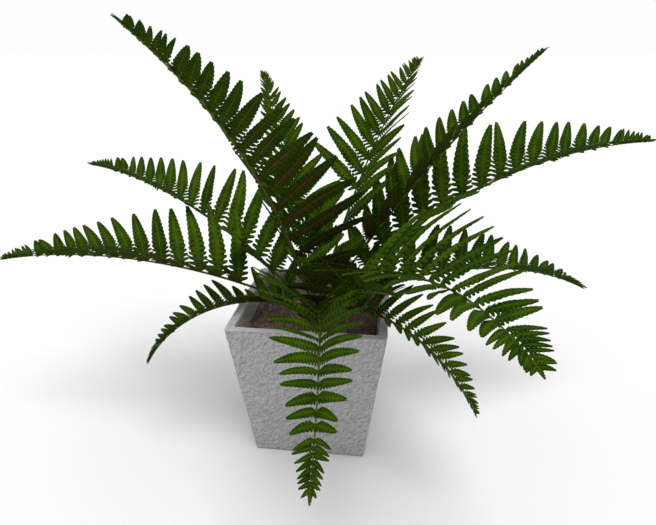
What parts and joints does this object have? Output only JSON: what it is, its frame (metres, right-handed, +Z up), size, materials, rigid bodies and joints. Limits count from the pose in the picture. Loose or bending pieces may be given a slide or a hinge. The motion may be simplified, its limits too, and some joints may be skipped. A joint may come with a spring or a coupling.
{
  "type": "potted fern",
  "caption": "Bushy fern with arching, folded fronds of lance-shaped leaflets, growing from a low crown in a square tapered planter filled with soil.",
  "frame": {"origin": "middle of the planter's underside, on the surface it stands on", "axes": "+Z up, +X and +Y square to the planter's sides, with the planter's front face toward -Y"},
  "size_m": [0.9155, 0.6608, 0.5442],
  "materials": {
    "planter": "matte",
    "soil": "matte",
    "rootstock": "matte",
    "leaf": "satin"
  },
  "bodies": {
    "root": {"pot": "planter", "potting_soil": "soil", "crown": "rootstock", "frond_01": "leaf", "frond_02": "leaf", "frond_03": "leaf", "frond_04": "leaf", "frond_05": "leaf", "frond_06": "leaf", "frond_07": "leaf", "frond_08": "leaf", "frond_09": "leaf", "frond_10": "leaf", "frond_11": "leaf", "frond_12": "leaf", "frond_13": "leaf"}
  },
  "joints": []
}
